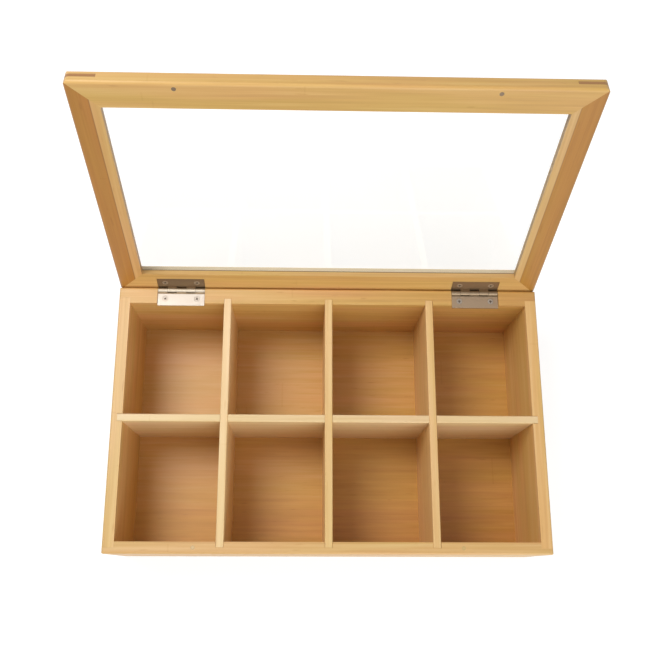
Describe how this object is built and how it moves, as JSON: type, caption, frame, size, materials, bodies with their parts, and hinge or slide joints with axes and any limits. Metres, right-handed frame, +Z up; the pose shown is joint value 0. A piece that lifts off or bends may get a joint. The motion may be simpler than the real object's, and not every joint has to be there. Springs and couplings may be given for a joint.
{
  "type": "tea bag organizer box",
  "caption": "Bamboo tea bag box divided into equal compartments, with a mitred frame lid that has a clear window and opens on butt hinges set in the back rim.",
  "frame": {"origin": "centre of the underside of the base panel, on the surface that the box stands on", "axes": "+X to the right seen from the front, +Y to the back where the hinges are, +Z up"},
  "size_m": [0.34, 0.2848, 0.2775],
  "materials": {
    "bamboo": "satin",
    "divider_bamboo": "satin",
    "base_bamboo": "satin",
    "key_bamboo": "satin",
    "clear_acrylic": "clear, gloss",
    "hinge_steel": "plated, satin",
    "screw_steel": "plated, bright",
    "magnet_nickel": "nickel plated"
  },
  "bodies": {
    "box": {"front_wall": "bamboo", "back_wall": "bamboo", "left_wall": "bamboo", "right_wall": "bamboo", "base_panel": "base_bamboo", "long_divider": "divider_bamboo", "divider_left": "divider_bamboo", "divider_centre": "divider_bamboo", "divider_right": "divider_bamboo", "rim_magnet_left": "magnet_nickel", "rim_magnet_right": "magnet_nickel", "hinge_left_box_leaf": "hinge_steel", "hinge_right_box_leaf": "hinge_steel", "hinge_left_pin": "hinge_steel", "hinge_right_pin": "hinge_steel", "box_leaf_screws": "screw_steel"},
    "lid": {"lid_front_rail": "bamboo", "lid_back_rail": "bamboo", "lid_left_stile": "bamboo", "lid_right_stile": "bamboo", "lid_pane": "clear_acrylic", "key_front_left": "key_bamboo", "key_front_right": "key_bamboo", "key_back_left": "key_bamboo", "key_back_right": "key_bamboo", "lid_magnet_left": "magnet_nickel", "lid_magnet_right": "magnet_nickel", "hinge_left_lid_leaf": "hinge_steel", "hinge_right_lid_leaf": "hinge_steel", "lid_leaf_screws": "screw_steel"}
  },
  "joints": [
    {"name": "lid_hinge", "type": "hinge", "parent": "box", "child": "lid", "pos_m": [0, 0.1032, 0.0808], "axis": [1, 0, 0], "range_deg": [0, 108]}
  ]
}
